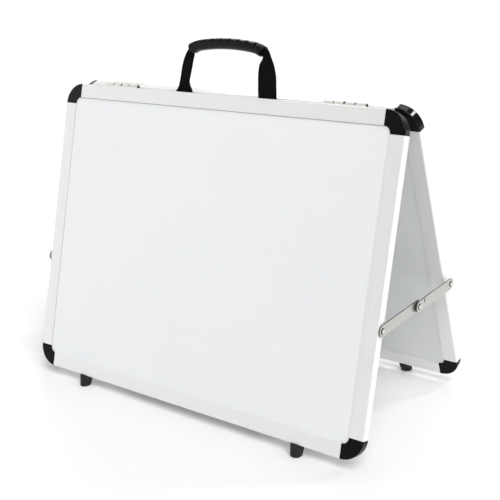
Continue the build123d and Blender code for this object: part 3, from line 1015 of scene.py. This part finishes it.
# %% Outlines of the free straps
# inner edge x, z and outer edge x, z, in mm from the handle's middle and the webbing's bend
LEFT_STATIONS = (
    (60.0, 0.0, 90.0, 0.0),
    (61.4, 4.0, 87.6, 4.5),
    (64.6, 9.5, 85.6, 9.5),
    (66.6, 16.0, 84.2, 16.5),
    (64.8, 26.0, 82.8, 26.5),
    (63.0, 36.0, 81.4, 36.5),
    (61.4, 46.0, 78.8, 47.0),
    (59.9, 53.0, 74.6, 56.5),
    (60.0, 56.0, 69.6, 63.6),
    (60.6, 57.2, 65.8, 66.5),
)
RIGHT_STATIONS = (
    (60.0, 0.0, 90.0, 0.0),
    (59.0, 9.0, 89.0, 9.5),
    (57.8, 20.0, 87.2, 21.0),
    (56.7, 31.0, 85.0, 32.5),
    (56.5, 39.5, 82.7, 41.5),
    (57.6, 45.5, 79.8, 48.5),
    (60.4, 50.5, 76.2, 55.0),
    (62.4, 54.0, 73.2, 60.8),
    (61.4, 56.4, 70.4, 64.9),
    (60.6, 57.2, 65.8, 66.5),
)
STATION_STEPS = 10


def smooth_between(before, start, end, after, share):
    """A curve that passes through start and end and keeps its direction from piece to piece."""
    square, cube = share**2, share**3
    return 0.5 * (
        2 * start
        + (end - before) * share
        + (2 * before - 5 * start + 4 * end - after) * square
        + (3 * start - before - 3 * end + after) * cube
    )


def edges_along(stations):
    """Inner and outer edge points of every ring, from the bend to the grip."""
    padded = (stations[0],) + stations + (stations[-1],)
    rows = []
    for index in range(1, len(stations)):
        four = padded[index - 1:index + 3]
        for step in range(STATION_STEPS):
            share = step / STATION_STEPS
            rows.append([smooth_between(*values, share) for values in zip(*four)])
    rows.append(list(stations[-1]))
    return rows


print("rings in a free strap:", len(edges_along(LEFT_STATIONS)))

# %% [markdown]
# ## The webbing's section
# Webbing can't get narrower: where it gathers, both of its edges roll back behind it. So every
# section keeps the webbing's own 30 mm. A flat middle ends in two curls, and each curl turns
# just so far that the strap is as wide as its outline says. A curl stops at a half turn, where the
# rest of the edge lies flat behind the strap, and is tucked in if it would reach past the middle.

# %% Section
HALF_POINTS = 30
CURL_RADIUS = 1.0
EDGE_BULGE = 0.5
QUARTER_TURN = math.pi / 2
HALVINGS = 30
NEARLY_THERE = 0.001


def curl_turn(half_width):
    """How far the edge has to curl back to bring half of the strap down to this half width."""
    excess = STRAP_WIDTH / 2 - half_width
    if excess <= 0:
        return 0.0
    low, high = 0.0, QUARTER_TURN
    for _ in range(HALVINGS):
        turn = (low + high) / 2
        if CURL_RADIUS * (turn - math.sin(turn)) < excess:
            low = turn
        else:
            high = turn
    if high < QUARTER_TURN - NEARLY_THERE:
        return high
    return min((excess + CURL_RADIUS) / CURL_RADIUS, math.pi)


def curled_half(half_width):
    """Half of the section's middle line: sideways, backwards and the turn at each point."""
    roll = curl_turn(half_width)
    flat = half_width - CURL_RADIUS * math.sin(min(roll, QUARTER_TURN))
    half = STRAP_WIDTH / 2
    beyond = half - flat - CURL_RADIUS * roll
    tuck = min(1.0, flat / beyond) if beyond > 0 else 1.0
    line = []
    for index in range(HALF_POINTS + 1):
        place = half * index / HALF_POINTS
        turn = min(max((place - flat) / CURL_RADIUS, 0.0), roll)
        rest = max(place - flat - CURL_RADIUS * roll, 0.0) * tuck
        sideways = min(place, flat) + CURL_RADIUS * math.sin(turn) + rest * math.cos(roll)
        backwards = CURL_RADIUS * (1 - math.cos(turn)) + rest * math.sin(roll)
        line.append((sideways, backwards, turn))
    return line


for width in (15.0, 14.0, 12.0, 9.0):
    print("half width", width, "curls by", round(math.degrees(curl_turn(width))), "degrees")

# %% The section's outline
EDGE_STEP = 1.0  # mm of UV round the webbing's thin edge, from one point to the next


def section_outline(half_width):
    """Closed outline of the webbing, with its outer edge on the positive side."""
    curled = curled_half(half_width)
    line = [(-across, depth, -turn) for across, depth, turn in reversed(curled[1:])] + curled
    half = STRAP_THICK / 2
    front = [(a + half * math.sin(t), d - half * math.cos(t)) for a, d, t in line]
    back = [(a - half * math.sin(t), d + half * math.cos(t)) for a, d, t in line]
    edges = []
    for (across, depth, turn), way in ((line[-1], 1.0), (line[0], -1.0)):
        edges.append((
            across + way * EDGE_BULGE * math.cos(turn),
            depth + way * EDGE_BULGE * math.sin(turn),
        ))
    return front + [edges[0]] + list(reversed(back)) + [edges[1]]


def section_across():
    """UV round the webbing for each point of the outline, and once more where the ring closes."""
    front = [STRAP_WIDTH * index / (2 * HALF_POINTS) for index in range(2 * HALF_POINTS + 1)]
    back_end = 2 * STRAP_WIDTH + 2 * EDGE_STEP
    back = [back_end - value for value in reversed(front)]
    closing = [back_end + EDGE_STEP, back_end + 2 * EDGE_STEP]
    return front + [STRAP_WIDTH + EDGE_STEP] + back + closing


print("points in a section:", len(section_outline(STRAP_WIDTH / 2)))

# %% [markdown]
# ## The two straps
# Each strap is one piece from its folded end to the inside of the grip. It is drawn in the board's
# plane below its bend and in the handle's plane above it.

# %% Rings of the straps
INTO_GRIP = 5.0
GATHERED = 4.0  # a strap that is this much narrower than its webbing has fully rolled edges


def clamped_rings(side):
    outline = section_outline(STRAP_WIDTH / 2)
    rings = []
    for x, y, z, turn in clamped_route(side):
        ring = []
        for across, depth in outline:
            ring.append(rail_to_world(
                x + side * across,
                y + depth * math.cos(turn),
                z - depth * math.sin(turn),
            ))
        rings.append(ring)
    return rings


def free_ring(side, inner_x, inner_z, outer_x, outer_z):
    """One section between an inner and an outer edge point."""
    middle_x, middle_z = (inner_x + outer_x) / 2, (inner_z + outer_z) / 2
    width = math.hypot(outer_x - inner_x, outer_z - inner_z)
    along_x, along_z = (outer_x - inner_x) / width, (outer_z - inner_z) / width
    rolled = smooth_step(STRAP_WIDTH - width, 0.0, GATHERED)
    drawn_half = width / 2 - STRAP_THICK / 2 * rolled
    ring = []
    for across, depth in section_outline(drawn_half):
        ring.append(handle_to_world(
            side * (middle_x + across * along_x),
            depth,
            middle_z + across * along_z,
        ))
    return ring


def free_rings(side, stations):
    edges = edges_along(stations)
    rings = [free_ring(side, *row) for row in edges[1:]]
    inner_x, inner_z, outer_x, outer_z = edges[-1]
    back_x, back_z = -math.cos(end_heading), math.sin(end_heading)
    for step in (1, 2):
        deeper = INTO_GRIP * step / 2
        rings.append(free_ring(
            side,
            inner_x + back_x * deeper,
            inner_z + back_z * deeper,
            outer_x + back_x * deeper,
            outer_z + back_z * deeper,
        ))
    return rings


print("rings in a strap:", len(clamped_rings(1)) + len(free_rings(1, RIGHT_STATIONS)))


def make_strap(name, side, stations, node):
    rings = clamped_rings(side) + free_rings(side, stations)
    across = section_across()
    lengths = [0.0]
    for before, after in zip(rings, rings[1:]):
        lengths.append(lengths[-1] + (after[HALF_POINTS] - before[HALF_POINTS]).length / MM)
    uvs = [[(u, v) for u in across] for v in lengths]
    strap = skin(name, rings, uvs, webbing)
    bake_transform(strap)
    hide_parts(node, "strap_clamped_ends")
    return strap


left_strap = make_strap("left_webbing", -1, LEFT_STATIONS, "handle_strap_left")
right_strap = make_strap("right_webbing", 1, RIGHT_STATIONS, "handle_strap_right")
print("strap faces:", len(left_strap.data.polygons), len(right_strap.data.polygons))

# %% [markdown]
# ## The floor's finish
# The floor is matt studio paper. It is almost white, so that it washes out in the light and only the
# soft shadows show.

# %% Floor finish


def floor_finish():
    finish, tree, shader = start_finish("studio_paper")
    clouds = noise_field(tree, object_place(tree), 0.7)
    shade = colour_between(tree, clouds, (0.90, 0.90, 0.90), (0.92, 0.92, 0.92))
    tree.links.new(shade, shader.inputs["Base Color"])
    shader.inputs["Roughness"].default_value = 0.9
    shader.inputs["Specular IOR Level"].default_value = 0.1
    return finish


floor.data.materials.append(floor_finish())
print("finishes on the floor:", len(floor.data.materials))
